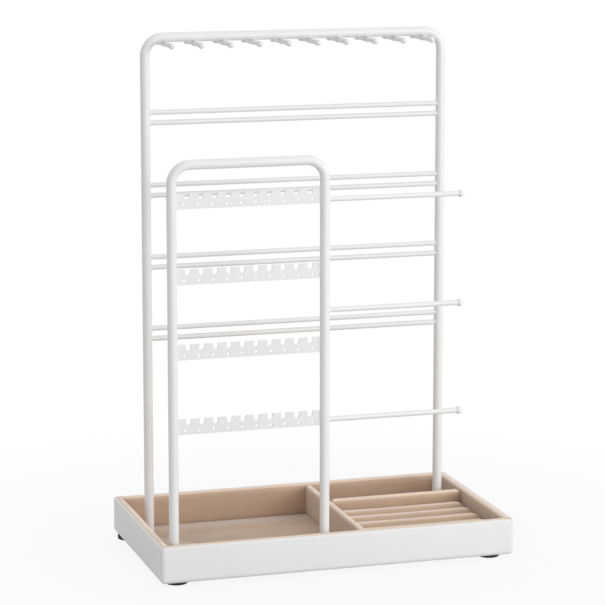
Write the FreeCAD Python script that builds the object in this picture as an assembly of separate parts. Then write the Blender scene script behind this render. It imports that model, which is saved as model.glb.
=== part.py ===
import FreeCAD, Part
import math
import os

# Jewelry stand: two bent-tube frames screwed into a lined tray. Millimetres, +X to the right, +Y to the
# back, +Z up, with the origin on the table under the middle of the tray.

# Moulded tray
tray_width = 240.0
tray_depth = 135.0
tray_height = 24.0
tray_wall = 1.6
tray_floor = 2.0
tray_edge_radius = 3.0
tray_rim_chamfer = 0.5

# Rubber feet
foot_diameter = 14.6
foot_height = 3.0
foot_inset = 13.2
rear_foot_from_side = 8.0
rear_foot_from_back = 10.8
foot_chamfer = 0.7
foot_sides = 32

# Velvet boards that line and divide the tray
lining_thickness = 4.4
lining_rise = 0.3
board_crown = 1.4
floor_lining = 0.8
fit_gap = 0.2
right_bay_width = 94.0
divider_thickness = 4.5
divider_drop = 0.9

# Ring pad that drops into the right bay
pad_gap_left = 0.5
pad_gap_right = 1.5
pad_gap_front = 0.5
pad_gap_below = 0.2
pad_board = 2.0
pad_back_thickness = 5.2
pad_back_drop = 0.5
pad_back_from_rear_post = 13.2
pad_corner_radius = 1.5
roll_count = 5
roll_gap = 0.4
roll_height = 12.6
roll_crown = 6.0
roll_end_drop = 2.0
roll_end_draw = 1.0
roll_end_length = 4.0
roll_end_steps = 2

# Tube of both frames
tube_diameter = 6.3
tube_wall = 0.7
bend_radius = 12.0
weld_gap = 0.02
turned_sides = 14
ball_bands = 4

# Rear frame with its rod pairs
rear_post_from_side = 17.3
rear_post_from_back = 33.0
rear_tube_height = 338.8
rod_diameter = 3.4
rod_pair_count = 4
rod_pair_from_top = 52.4
rod_pair_pitch = 48.0
rod_pair_spacing = 6.9

# Necklace pegs under the rear frame's top tube
peg_count = 10
peg_from_bend = 1.5
peg_diameter = 3.2
peg_reach = 19.0
peg_ball_diameter = 4.5
peg_set_in = 0.4

# Front frame
front_post_from_side = 11.6
front_post_from_front = 12.0
front_post_from_divider = 23.3
front_tube_height = 266.4

# Earring strips
strip_count = 4
strip_from_top = 17.8
strip_pitch = 48.2
strip_height = 10.0
strip_thickness = 1.2
notch_count = 10
notch_from_post = 10.0
notch_width = 3.2
notch_depth = 3.9
hole_count = 10
hole_from_post = 8.0
hole_diameter = 2.0
hole_below_top = 7.4
hole_sides = 8
notch_root_sides = 5

# Bangle arms on the front frame's right post
arm_count = 3
arm_from_top = 25.4
arm_pitch = 71.7
arm_diameter = 3.4
arm_reach = 91.9
arm_ball_diameter = 5.2

# Screws from below, and the threaded plugs in the posts' feet
screw_diameter = 3.0
screw_length = 12.0
screw_head_diameter = 5.6
screw_head_land = 0.2
screw_play = 0.1
insert_length = 14.0
insert_gap = 0.05

# Heights above the table
tray_bottom = foot_height
floor_top = tray_bottom + tray_floor
rim_top = tray_bottom + tray_height
lining_floor_top = floor_top + floor_lining
lining_top = rim_top + lining_rise
rear_tube_z = tray_bottom + rear_tube_height
front_tube_z = tray_bottom + front_tube_height

# Places seen from above
half_width = tray_width / 2
half_depth = tray_depth / 2
cavity_half_width = half_width - tray_wall
cavity_half_depth = half_depth - tray_wall
cavity_corner = tray_edge_radius - tray_wall
bay_half_width = cavity_half_width - lining_thickness
bay_half_depth = cavity_half_depth - lining_thickness
divider_right = bay_half_width - right_bay_width
divider_left = divider_right - divider_thickness
rear_x = half_width - rear_post_from_side
rear_y = half_depth - rear_post_from_back
front_left_x = -half_width + front_post_from_side
front_right_x = divider_left - front_post_from_divider
front_y = -half_depth + front_post_from_front
tube_radius = tube_diameter / 2
posts = {
    "rear_left": (-rear_x, rear_y),
    "rear_right": (rear_x, rear_y),
    "front_left": (front_left_x, front_y),
    "front_right": (front_right_x, front_y),
}

# Ring pad
pad_left = divider_right + pad_gap_left
pad_right = bay_half_width - pad_gap_right
pad_front = -bay_half_depth + pad_gap_front
pad_rear = rear_y - pad_back_from_rear_post
pad_back_front = pad_rear - pad_back_thickness
pad_bottom = lining_floor_top + pad_gap_below
pad_top = pad_bottom + pad_board
roll_pitch = (pad_back_front - pad_front) / roll_count
roll_width = roll_pitch - roll_gap

X_AXIS = FreeCAD.Vector(1, 0, 0)
Y_AXIS = FreeCAD.Vector(0, 1, 0)
Z_AXIS = FreeCAD.Vector(0, 0, 1)


def point(x, y, z):
    return FreeCAD.Vector(x, y, z)


def line(start, end):
    return Part.LineSegment(start, end).toShape()


def arc(start, middle, end):
    return Part.Arc(start, middle, end).toShape()


def block(low, high):
    size = high - low
    return Part.makeBox(size.x, size.y, size.z, low)


def rounded_block(low, high, radius):
    """A block with its four upright edges rounded."""
    solid = block(low, high)
    upright = [e for e in solid.Edges if abs(e.tangentAt(e.FirstParameter).z) > 0.5]
    return solid.makeFillet(radius, upright)


def ring(centre, axis, side, radius, sides):
    """Corners of a regular polygon square to an axis, the first out along the side direction."""
    across = axis.cross(side)
    turns = [2 * math.pi * n / sides for n in range(sides)]
    return [centre + side * radius * math.cos(t) + across * radius * math.sin(t) for t in turns]


def facet(corners):
    return Part.Face(Part.makePolygon(corners + corners[:1]))


def turned(origin, axis, side, stations, sides):
    """A turned piece with flat facets, from pairs of distance along the axis and radius; 0 is a tip."""
    rings = [ring(origin + axis * along, axis, side, radius, sides) for along, radius in stations]
    facets = []
    for (_, start_radius), (_, end_radius), low, high in zip(stations, stations[1:], rings, rings[1:]):
        for n in range(sides):
            after = (n + 1) % sides
            lower = [low[n], low[after]] if start_radius else low[:1]
            upper = [high[after], high[n]] if end_radius else high[:1]
            facets.append(facet(lower + upper))
    if stations[0][1]:
        facets.append(facet(rings[0][::-1]))
    if stations[-1][1]:
        facets.append(facet(rings[-1]))
    return Part.Solid(Part.Shell(facets))


# Tray and feet
def screw_body(x, y, play):
    """A countersunk screw, or with some play the hole for it, from the tray's underside upwards."""
    head = screw_head_diameter / 2 + play
    shank = screw_diameter / 2 + play
    cone = screw_head_land + head - shank
    stations = [(0, head), (screw_head_land, head), (cone, shank), (screw_length, shank)]
    return turned(point(x, y, tray_bottom), Z_AXIS, X_AXIS, stations, turned_sides)


def tray_shell():
    outer = block(point(-half_width, -half_depth, tray_bottom), point(half_width, half_depth, rim_top))
    rounded = [e for e in outer.Edges if e.BoundBox.ZMin < floor_top]
    outer = outer.makeFillet(tray_edge_radius, rounded)
    rim = [e for e in outer.Edges if e.BoundBox.ZMin > rim_top - tray_rim_chamfer]
    outer = outer.makeChamfer(tray_rim_chamfer, rim)
    cavity = rounded_block(
        point(-cavity_half_width, -cavity_half_depth, floor_top),
        point(cavity_half_width, cavity_half_depth, rim_top + tray_wall),
        cavity_corner,
    )
    shell = outer.cut(cavity)
    for x, y in posts.values():
        shell = shell.cut(screw_body(x, y, screw_play))
    return shell


def foot(side_x, side_y):
    """One foot under a corner of the tray; the sides are -1 or 1, and the rear feet stand nearer the edges."""
    from_side, from_end = (rear_foot_from_side, rear_foot_from_back) if side_y > 0 else (foot_inset, foot_inset)
    x = side_x * (half_width - from_side)
    y = side_y * (half_depth - from_end)
    radius = foot_diameter / 2
    stations = [(0, radius - foot_chamfer), (foot_chamfer, radius), (foot_height, radius)]
    return turned(point(x, y, 0), Z_AXIS, X_AXIS, stations, foot_sides)


# Velvet boards
def crowned_board(length, thickness, bottom, top):
    """A board along X, from Y 0 to its thickness, with a rounded padded top edge."""
    shoulder = top - board_crown
    start = -length / 2
    front_low = point(start, 0, bottom)
    rear_low = point(start, thickness, bottom)
    rear_high = point(start, thickness, shoulder)
    crest = point(start, thickness / 2, top)
    front_high = point(start, 0, shoulder)
    edges = [
        line(front_low, rear_low),
        line(rear_low, rear_high),
        arc(rear_high, crest, front_high),
        line(front_high, front_low),
    ]
    return Part.Face(Part.Wire(edges)).extrude(X_AXIS * length)


def lining_panel(length):
    """A wall panel with mitred ends and corners rounded to the tray's, its back on the plane Y 0."""
    end = length / 2
    radius = cavity_corner + fit_gap
    tip = radius * (1 - math.sqrt(0.5))
    ease = radius * (1 - math.cos(math.pi / 8))
    lead = radius * (1 - math.sin(math.pi / 8))
    corners = [
        point(end - radius, 0, 0),
        point(end - tip, tip, 0),
        point(end - lining_thickness, lining_thickness, 0),
    ]
    middle = point(end - lead, ease, 0)
    mirrored = [point(-p.x, p.y, 0) for p in corners]
    edges = [
        line(mirrored[0], corners[0]),
        arc(corners[0], middle, corners[1]),
        line(corners[1], corners[2]),
        line(corners[2], mirrored[2]),
        line(mirrored[2], mirrored[1]),
        arc(mirrored[1], point(-middle.x, middle.y, 0), mirrored[0]),
    ]
    plan = Part.Face(Part.Wire(edges)).extrude(Z_AXIS * (lining_top + tray_wall))
    return crowned_board(length, lining_thickness, floor_top, lining_top).common(plan)


def placed(shape, x, y, turn):
    """The shape turned about Z by so many degrees, then moved."""
    shape = shape.copy()
    shape.rotate(point(0, 0, 0), Z_AXIS, turn)
    shape.translate(point(x, y, 0))
    return shape


def lining_floor():
    sheet = block(
        point(-bay_half_width, -bay_half_depth, floor_top),
        point(bay_half_width, bay_half_depth, lining_floor_top),
    )
    for x, y in posts.values():
        stations = [(0, tube_radius + fit_gap), (floor_lining, tube_radius + fit_gap)]
        sheet = sheet.cut(turned(point(x, y, floor_top), Z_AXIS, X_AXIS, stations, turned_sides))
    return sheet


def divider():
    length = 2 * (bay_half_depth - fit_gap)
    board = crowned_board(length, divider_thickness, lining_floor_top, rim_top - divider_drop)
    return placed(board, divider_right, 0, 90)


# Ring pad
def ring_pad_board():
    return rounded_block(
        point(pad_left, pad_front, pad_bottom), point(pad_right, pad_rear, pad_top), pad_corner_radius
    )


def ring_pad_back():
    length = pad_right - pad_left
    board = crowned_board(length, pad_back_thickness, pad_top, rim_top - pad_back_drop)
    return placed(board, (pad_left + pad_right) / 2, pad_back_front, 0)


def roll_section(x, y, share):
    """One outline of a foam roll; the share of its end form is 0 along the roll and 1 at an end."""
    half = roll_width / 2 - share * roll_end_draw
    top = pad_top + roll_height - share * roll_end_drop
    shoulder = top - roll_crown
    front_low = point(x, y - half, pad_top)
    rear_low = point(x, y + half, pad_top)
    rear_high = point(x, y + half, shoulder)
    front_high = point(x, y - half, shoulder)
    edges = [
        line(front_low, rear_low),
        line(rear_low, rear_high),
        arc(rear_high, point(x, y, top), front_high),
        line(front_high, front_low),
    ]
    return Part.Wire(edges)


def ring_roll(index):
    """A padded roll, drawn in and down round its ends."""
    y = pad_back_front - (index + 0.5) * roll_pitch
    turns = [math.pi / 2 * n / roll_end_steps for n in range(roll_end_steps + 1)]
    ends = [(roll_end_length * (1 - math.cos(t)), 1 - math.sin(t)) for t in turns]
    sections = [roll_section(pad_left + along, y, share) for along, share in ends]
    sections += [roll_section(pad_right - along, y, share) for along, share in reversed(ends)]
    return Part.makeLoft(sections, True, True)


# Frames
def bent_frame(left_x, right_x, y, top_z):
    """An upside-down U of tube on the tray's floor, its bore open at the feet and drawn up to the bends."""
    shoulder = top_z - bend_radius
    lean = bend_radius * (1 - math.sqrt(0.5))
    left_foot = point(left_x, y, floor_top)
    left_shoulder = point(left_x, y, shoulder)
    left_top = point(left_x + bend_radius, y, top_z)
    right_top = point(right_x - bend_radius, y, top_z)
    right_shoulder = point(right_x, y, shoulder)
    right_foot = point(right_x, y, floor_top)
    path = Part.Wire([
        line(left_foot, left_shoulder),
        arc(left_shoulder, point(left_x + lean, y, top_z - lean), left_top),
        line(left_top, right_top),
        arc(right_top, point(right_x - lean, y, top_z - lean), right_shoulder),
        line(right_shoulder, right_foot),
    ])
    section = Part.Wire(Part.makeCircle(tube_radius, left_foot, Z_AXIS))
    tube = path.makePipeShell([section], True, False)
    for foot_end in (left_foot, right_foot):
        tube = tube.cut(Part.makeCylinder(tube_radius - tube_wall, shoulder - floor_top, foot_end))
    return tube


def post_envelope(x, y, top_z):
    """The round space a post takes up, to cope the ends of what is welded to it."""
    return Part.makeCylinder(tube_radius + weld_gap, top_z - floor_top, point(x, y, floor_top))


def rear_rod(z):
    rod = Part.makeCylinder(rod_diameter / 2, 2 * rear_x, point(-rear_x, rear_y, z), X_AXIS)
    for x in (-rear_x, rear_x):
        rod = rod.cut(post_envelope(x, rear_y, rear_tube_z))
    return rod


def ball_stations(along, radius, ball_radius, outwards):
    """Stations of a ball that a rod runs into, from its tip to its neck; outwards is the tip's direction."""
    neck = math.pi - math.asin(radius / ball_radius)
    turns = [neck * n / ball_bands for n in range(ball_bands + 1)]
    return [(along + outwards * ball_radius * math.cos(t), ball_radius * math.sin(t)) for t in turns]


def necklace_peg(index):
    """A double-ended peg let a little way into the underside of the rear top tube."""
    span = 2 * (rear_x - bend_radius - peg_from_bend)
    x = -span / 2 + index * span / (peg_count - 1)
    z = rear_tube_z - tube_radius - peg_diameter / 2 + peg_set_in
    front = ball_stations(-peg_reach, peg_diameter / 2, peg_ball_diameter / 2, -1)
    rear = ball_stations(peg_reach, peg_diameter / 2, peg_ball_diameter / 2, 1)
    peg = turned(point(x, rear_y, z), Y_AXIS, Z_AXIS, front + rear[::-1], turned_sides)
    tube = Part.makeCylinder(tube_radius + weld_gap, 2 * rear_x, point(-rear_x, rear_y, rear_tube_z), X_AXIS)
    return peg.cut(tube)


def strip_outline(left, right, bottom, top):
    """The punched blank's edge, with its round-bottomed notches along the top."""
    y = front_y - strip_thickness / 2
    pitch = (right - left - 2 * notch_from_post) / (notch_count - 1)
    half = notch_width / 2
    root = top - notch_depth + half
    edges = [
        line(point(left, y, top), point(left, y, bottom)),
        line(point(left, y, bottom), point(right, y, bottom)),
        line(point(right, y, bottom), point(right, y, top)),
    ]
    last = point(right, y, top)
    for index in reversed(range(notch_count)):
        x = left + notch_from_post + index * pitch
        edges += [
            line(last, point(x + half, y, top)),
            line(point(x + half, y, top), point(x + half, y, root)),
        ]
        turns = [math.pi * n / notch_root_sides for n in range(notch_root_sides + 1)]
        bowl = [point(x + half * math.cos(t), y, root - half * math.sin(t)) for t in turns]
        edges += [line(a, b) for a, b in zip(bowl, bowl[1:])]
        edges.append(line(bowl[-1], point(x - half, y, top)))
        last = point(x - half, y, top)
    edges.append(line(last, point(left, y, top)))
    return Part.Wire(edges)


def earring_strip(index):
    """A sheet-metal strip between the front posts, notched along its top and drilled below."""
    top = front_tube_z - strip_from_top - index * strip_pitch
    left, right = front_left_x, front_right_x
    pitch = (right - left - 2 * hole_from_post) / (hole_count - 1)
    y = front_y - strip_thickness / 2
    holes = []
    for number in range(hole_count):
        centre = point(left + hole_from_post + number * pitch, y, top - hole_below_top)
        holes.append(facet(ring(centre, Y_AXIS, Z_AXIS, hole_diameter / 2, hole_sides)))
    sheet = Part.Face(strip_outline(left, right, top - strip_height, top)).cut(Part.makeCompound(holes))
    blank = sheet.Faces[0].extrude(Y_AXIS * strip_thickness)
    for x in (left, right):
        blank = blank.cut(post_envelope(x, front_y, front_tube_z))
    return blank


def bangle_arm(index):
    """A ball-ended arm welded to the right side of the front frame."""
    z = front_tube_z - arm_from_top - index * arm_pitch
    ball = ball_stations(arm_reach, arm_diameter / 2, arm_ball_diameter / 2, 1)
    stations = [(0, arm_diameter / 2)] + ball[::-1]
    arm = turned(point(front_right_x, front_y, z), X_AXIS, Z_AXIS, stations, turned_sides)
    return arm.cut(post_envelope(front_right_x, front_y, front_tube_z))


# Fastening
def leg_insert(x, y):
    """A threaded plug held in the foot of a post."""
    foot_end = point(x, y, floor_top)
    outer = tube_radius - tube_wall - insert_gap
    bore = screw_diameter / 2 + screw_play
    plug = turned(foot_end, Z_AXIS, X_AXIS, [(0, outer), (insert_length, outer)], turned_sides)
    return plug.cut(turned(foot_end, Z_AXIS, X_AXIS, [(0, bore), (insert_length, bore)], turned_sides))


def build():
    """Every piece of the stand by its name."""
    wide = lining_panel(2 * cavity_half_width)
    deep = lining_panel(2 * cavity_half_depth)
    pieces = {
        "tray_shell": tray_shell(),
        "lining_front": placed(wide, 0, -cavity_half_depth, 0),
        "lining_rear": placed(wide, 0, cavity_half_depth, 180),
        "lining_left": placed(deep, -cavity_half_width, 0, -90),
        "lining_right": placed(deep, cavity_half_width, 0, 90),
        "lining_floor": lining_floor(),
        "divider": divider(),
        "ring_pad_board": ring_pad_board(),
        "ring_pad_back": ring_pad_back(),
        "rear_frame_tube": bent_frame(-rear_x, rear_x, rear_y, rear_tube_z),
        "front_frame_tube": bent_frame(front_left_x, front_right_x, front_y, front_tube_z),
        "frame_screws": Part.makeCompound([screw_body(x, y, 0) for x, y in posts.values()]),
    }
    for depth_name, side_y in (("front", -1), ("rear", 1)):
        for width_name, side_x in (("left", -1), ("right", 1)):
            pieces[f"foot_{depth_name}_{width_name}"] = foot(side_x, side_y)
    for name, (x, y) in posts.items():
        pieces[f"leg_insert_{name}"] = leg_insert(x, y)
    for index in range(rod_pair_count):
        middle = rear_tube_z - rod_pair_from_top - index * rod_pair_pitch
        pieces[f"rear_rod_{index + 1}_upper"] = rear_rod(middle + rod_pair_spacing / 2)
        pieces[f"rear_rod_{index + 1}_lower"] = rear_rod(middle - rod_pair_spacing / 2)
    for index in range(peg_count):
        pieces[f"necklace_peg_{index + 1:02d}"] = necklace_peg(index)
    for index in range(strip_count):
        pieces[f"earring_strip_{index + 1}"] = earring_strip(index)
    for index in range(arm_count):
        pieces[f"bangle_arm_{index + 1}"] = bangle_arm(index)
    for index in range(roll_count):
        pieces[f"ring_roll_{index + 1}"] = ring_roll(index)
    return pieces


def main():
    os.makedirs("parts", exist_ok=True)
    for name, shape in build().items():
        shape.exportStep(f"parts/{name}.step")


main()
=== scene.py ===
import logging
import math
from dataclasses import dataclass
from enum import Enum
from typing import Any, Iterable, Sequence, Union

import bmesh
import bpy
from mathutils import Matrix, Vector, noise


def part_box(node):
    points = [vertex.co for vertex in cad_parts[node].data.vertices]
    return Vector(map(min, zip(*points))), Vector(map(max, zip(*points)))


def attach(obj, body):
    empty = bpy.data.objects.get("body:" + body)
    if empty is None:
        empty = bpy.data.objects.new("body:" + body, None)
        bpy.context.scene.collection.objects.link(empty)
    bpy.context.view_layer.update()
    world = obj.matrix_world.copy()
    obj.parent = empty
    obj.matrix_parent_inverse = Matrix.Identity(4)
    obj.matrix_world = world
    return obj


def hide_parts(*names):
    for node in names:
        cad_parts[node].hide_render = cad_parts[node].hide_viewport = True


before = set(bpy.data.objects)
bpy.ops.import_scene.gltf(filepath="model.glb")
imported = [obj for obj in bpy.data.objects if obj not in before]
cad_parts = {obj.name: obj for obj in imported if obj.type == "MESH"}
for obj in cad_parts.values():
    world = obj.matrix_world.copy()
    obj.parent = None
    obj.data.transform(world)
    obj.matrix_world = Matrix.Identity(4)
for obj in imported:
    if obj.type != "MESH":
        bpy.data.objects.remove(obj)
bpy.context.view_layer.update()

# A white jewelry stand: two bent-tube frames with rods, pegs, strips and arms on a velvet-lined tray.
# Metres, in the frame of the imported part: +X to the right, +Y to the back, +Z up.

MM = 0.001
X_AXIS = Vector((1, 0, 0))
Y_AXIS = Vector((0, 1, 0))
Z_AXIS = Vector((0, 0, 1))
WHITE = (1, 1, 1, 1)
METAL_CREASE = 38.0
BOARD_CREASE = 60.0
ROLL_CREASE = 70.0
LEAST_RADIUS = 0.001 * MM
# Name of the mask of painted light: how much of a paler colour, standing in for light on the velvet's crests, each
# point gets.
PAINTED_CREST_LIGHT = "painted_crest_light"
log = logging.getLogger("jewelry_stand")

Colour = tuple[float, float, float]
Place = tuple[float, float, float]
Pair = tuple[float, float]
Profile = list[Pair]
Box = tuple[Vector, Vector]
Path = list[tuple[Vector, float]]
Ring = list[bmesh.types.BMVert]
Key = Union[int, str]
Operand = Union["Value", float]


class Slot(Enum):
    """Material slots of the record."""

    STEEL = "white_steel"
    TRAY = "tray_white"
    VELVET = "beige_velvet"
    RUBBER = "black_rubber"
    ZINC = "zinc_steel"


class Body(Enum):
    """Bodies that pieces ride on."""

    STAND = "stand"
    RING_PAD = "ring_pad"


class Value:
    """A node's output; Python's operators on it add Math nodes to its tree."""

    def __init__(self, tree: "Tree", socket: bpy.types.NodeSocket) -> None:
        """Keeps the output socket and its tree."""
        self.tree = tree
        self.socket = socket

    def _math(self, operation: str, first: Operand, second: Operand) -> "Value":
        """Adds one Math node."""
        return self.tree.node("ShaderNodeMath", {"operation": operation}, {0: first, 1: second})

    def __add__(self, other: Operand) -> "Value":
        """This plus the other."""
        return self._math("ADD", self, other)

    def __sub__(self, other: Operand) -> "Value":
        """This minus the other."""
        return self._math("SUBTRACT", self, other)

    def __rsub__(self, other: Operand) -> "Value":
        """The other minus this."""
        return self._math("SUBTRACT", other, self)

    def __mul__(self, other: Operand) -> "Value":
        """This times the other."""
        return self._math("MULTIPLY", self, other)

    __radd__ = __add__
    __rmul__ = __mul__


class Tree:
    """A node tree being written, for a finish, the surroundings or a rule of shape."""

    def __init__(self, nodes: bpy.types.NodeTree) -> None:
        """Keeps Blender's own tree."""
        self.nodes = nodes

    @classmethod
    def blank(cls, owner: bpy.types.Material | bpy.types.World) -> "Tree":
        """Empties the tree of a material or a world.

        Args:
            owner: What the tree belongs to.

        Returns:
            The empty tree.
        """
        owner.use_nodes = True
        owner.node_tree.nodes.clear()
        return cls(owner.node_tree)

    @staticmethod
    def _pick(sockets: Any, key: Key) -> bpy.types.NodeSocket:
        """The socket with that index, identifier or name."""
        return sockets[key] if isinstance(key, int) else next(s for s in sockets if key in (s.identifier, s.name))

    def node(
        self,
        kind: str,
        settings: dict[str, Any] | None = None,
        values: dict[Key, Any] | None = None,
        output: Key = 0,
    ) -> Value:
        """Adds a node of any type.

        Args:
            kind: The node's type.
            settings: Its own properties, set before its sockets.
            values: Numbers, colours or Values by socket; a list links each Value in it.
            output: The output to return.

        Returns:
            That output as a Value.
        """
        made = self.nodes.nodes.new(kind)
        for name, setting in (settings or {}).items():
            setattr(made, name, setting)
        for key, value in (values or {}).items():
            socket = self._pick(made.inputs, key)
            for one in value if isinstance(value, list) else [value]:
                if isinstance(one, Value):
                    self.nodes.links.new(one.socket, socket)
                else:
                    socket.default_value = one
        return Value(self, self._pick(made.outputs, output))

    def end(self, kind: str, result: Value) -> None:
        """Adds the tree's output node of that type and links the result to it."""
        made = self.nodes.nodes.new(kind)
        self.nodes.links.new(result.socket, made.inputs[0])

    def place(self) -> Value:
        """Object coordinates."""
        return self.node("ShaderNodeTexCoord", output="Object")

    def grain(self, size: float, detail: float = 2.0) -> Value:
        """Noise with features of about the given size in metres, from 0 to 1."""
        values = {"Vector": self.place(), "Scale": 1 / size, "Detail": detail}
        return self.node("ShaderNodeTexNoise", {}, values, "Fac")

    def spread(self, value: Value, low: float, high: float, to_low: float = 0.0, to_high: float = 1.0) -> Value:
        """A value's range from low to high laid over another range, smoothly."""
        values = {"Value": value, "From Min": low, "From Max": high, "To Min": to_low, "To Max": to_high}
        return self.node("ShaderNodeMapRange", {"interpolation_type": "SMOOTHSTEP"}, values)

    def blend(self, amount: Value, first: Any, second: Any) -> Value:
        """A colour from the first to the second, each a Value or four numbers."""
        values = {"Factor_Float": amount, "A_Color": first, "B_Color": second}
        return self.node("ShaderNodeMix", {"data_type": "RGBA"}, values, "Result_Color")

    def tint(self, amount: Value, colour: Colour, low: float, high: float) -> Value:
        """A colour times a share that goes from low to high."""
        dark, light = (tuple(min(1.0, c * share) for c in colour) + (1.0,) for share in (low, high))
        return self.blend(amount, dark, light)

    def bump(self, height: Value, strength: float, depth: float) -> Value:
        """A normal tilted by a height that is so many metres deep."""
        return self.node("ShaderNodeBump", {}, {"Height": height, "Strength": strength, "Distance": depth})


@dataclass(frozen=True)
class Finish:
    """A surface finish, with what every finish has.

    Attributes:
        slot: The record's slot.
        colour: The colour.
        roughness: The roughness where the grain is even.
        tones: The colour's shares where it is darkest and lightest.
        rough_grain: The grain where it is least and most rough.
        rough_span: What the roughness loses and gains there.
        relief: The bump's strength, and its depth in metres.
    """

    slot: Slot
    colour: Colour
    roughness: float
    tones: Pair = (1.0, 1.0)
    rough_grain: Pair = (0.2, 0.8)
    rough_span: Pair = (0.1, 0.1)
    relief: Pair = (0.6, 0.03 * MM)

    def material(self) -> bpy.types.Material:
        """Makes the finish's material at its first use.

        Returns:
            The material.
        """
        name = f"finish_{self.slot.value}"
        if name not in bpy.data.materials:
            tree = Tree.blank(bpy.data.materials.new(name))
            shader = tree.node("ShaderNodeBsdfPrincipled", {}, self.sockets(tree))
            tree.end("ShaderNodeOutputMaterial", shader)
        return bpy.data.materials[name]

    def skin(self, tree: Tree, tone: Value, wear: Value, height: Value) -> dict[str, Any]:
        """The sockets that vary over the surface of every finish.

        Args:
            tree: The material's tree.
            tone: How light the colour is, from 0 to 1.
            wear: The grain that the roughness follows.
            height: The grain that the bump follows.

        Returns:
            Links by socket.
        """
        less, more = self.rough_span
        return {
            "Base Color": tree.tint(tone, self.colour, *self.tones),
            "Roughness": tree.spread(wear, *self.rough_grain, self.roughness - less, self.roughness + more),
            "Normal": tree.bump(height, *self.relief),
        }

    def sockets(self, tree: Tree) -> dict[str, Any]:
        """Values and links of the shader's sockets, by name."""
        raise NotImplementedError


@dataclass(frozen=True)
class PowderCoat(Finish):
    """Baked powder paint: a satin skin with a fine orange peel."""

    tones: Pair = (0.97, 1.02)
    rough_grain: Pair = (0.3, 0.7)
    rough_span: Pair = (0.05, 0.07)
    relief: Pair = (0.7, 0.02 * MM)
    peel: float = 1.1 * MM
    grit: float = 0.24 * MM
    cloud: float = 34 * MM
    gloss: float = 0.25
    gloss_roughness: float = 0.28

    def sockets(self, tree: Tree) -> dict[str, Any]:
        """The shader's sockets for powder paint.

        Args:
            tree: The material's tree.

        Returns:
            Values and links by socket.
        """
        peel, grit, cloud = tree.grain(self.peel, 1.0), tree.grain(self.grit), tree.grain(self.cloud)
        skin = self.skin(tree, cloud * 0.6 + grit * 0.4, peel * 0.5 + cloud * 0.5, peel * 0.75 + grit * 0.25)
        return skin | {"Coat Weight": self.gloss, "Coat Roughness": self.gloss_roughness}


@dataclass(frozen=True)
class MouldedSatin(Finish):
    """Moulded plastic with the fine even texture of its mould."""

    tones: Pair = (0.98, 1.015)
    rough_grain: Pair = (0.3, 0.7)
    rough_span: Pair = (0.05, 0.06)
    relief: Pair = (0.6, 0.014 * MM)
    texture: float = 0.32 * MM
    flow: float = 55 * MM

    def sockets(self, tree: Tree) -> dict[str, Any]:
        """The shader's sockets for moulded plastic."""
        fine, flow = tree.grain(self.texture, 1.0), tree.grain(self.flow, 3.0)
        return self.skin(tree, flow, fine * 0.4 + flow * 0.6, fine)


@dataclass(frozen=True)
class Velvet(Finish):
    """Short-pile velvet: brushed patches, a nap and single tufts, with a paler colour painted on its crests as
    painted light.
    """

    tones: Pair = (0.88, 1.1)
    rough_span: Pair = (0.12, 0.05)
    relief: Pair = (0.8, 0.045 * MM)
    # The painted highlight colour of the crests, standing in for light falling on them from above.
    crest_light: Colour = (0.8, 0.64, 0.51)
    crest_light_tones: Pair = (0.95, 1.05)
    patch: float = 19 * MM
    nap: float = 1.6 * MM
    tuft: float = 0.11 * MM
    contrast: Pair = (0.3, 0.7)
    sheen: float = 0.8
    sheen_roughness: float = 0.5
    sheen_colour: Colour = (1.0, 0.95, 0.9)
    shine: float = 0.15

    def sockets(self, tree: Tree) -> dict[str, Any]:
        """The shader's sockets for velvet.

        Args:
            tree: The material's tree.

        Returns:
            Values and links by socket.
        """
        patch, nap, tuft = tree.grain(self.patch, 3.0), tree.grain(self.nap, 3.0), tree.grain(self.tuft)
        tone = tree.spread(patch * 0.3 + nap * 0.2 + tuft * 0.5, *self.contrast)
        skin = self.skin(tree, tone, tuft, nap * 0.15 + tuft * 0.85)
        # Painted light: where the mask says so, the colour turns to the paler crest colour, as if lit from above.
        crest_light_mask = tree.node("ShaderNodeAttribute", {"attribute_name": PAINTED_CREST_LIGHT}, output="Fac")
        painted_crest = tree.tint(tone, self.crest_light, *self.crest_light_tones)
        return skin | {
            "Base Color": tree.blend(crest_light_mask, skin["Base Color"], painted_crest),
            "Specular IOR Level": self.shine,
            "Sheen Weight": self.sheen,
            "Sheen Roughness": self.sheen_roughness,
            "Sheen Tint": (*self.sheen_colour, 1),
        }


@dataclass(frozen=True)
class FootRubber(Finish):
    """Matte rubber with a dusty bloom."""

    tones: Pair = (0.8, 1.9)
    bloom: float = 2.2 * MM
    bloom_grain: Pair = (0.35, 0.75)
    pore: float = 2.2 / 7 * MM

    def sockets(self, tree: Tree) -> dict[str, Any]:
        """The shader's sockets for rubber."""
        bloom, pore = tree.grain(self.bloom, 4.0), tree.grain(self.pore)
        return self.skin(tree, tree.spread(bloom, *self.bloom_grain), pore, pore)


@dataclass(frozen=True)
class ZincPlate(Finish):
    """Bright zinc on steel with a faint spangle."""

    tones: Pair = (0.85, 1.1)
    rough_span: Pair = (0.1, 0.12)
    relief: Pair = (0.5, 0.01 * MM)
    spangle: float = 0.5 * MM

    def sockets(self, tree: Tree) -> dict[str, Any]:
        """The shader's sockets for zinc."""
        spangle = tree.grain(self.spangle, 3.0)
        return self.skin(tree, spangle, spangle, spangle) | {"Metallic": 1.0}


STEEL = PowderCoat(Slot.STEEL, (0.83, 0.83, 0.83), 0.42)
TRAY = MouldedSatin(Slot.TRAY, (0.83, 0.83, 0.83), 0.45)
VELVET = Velvet(Slot.VELVET, (0.54, 0.386, 0.276), 0.95)
RUBBER = FootRubber(Slot.RUBBER, (0.012, 0.012, 0.013), 0.7)
ZINC = ZincPlate(Slot.ZINC, (0.62, 0.62, 0.6), 0.34)


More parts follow.
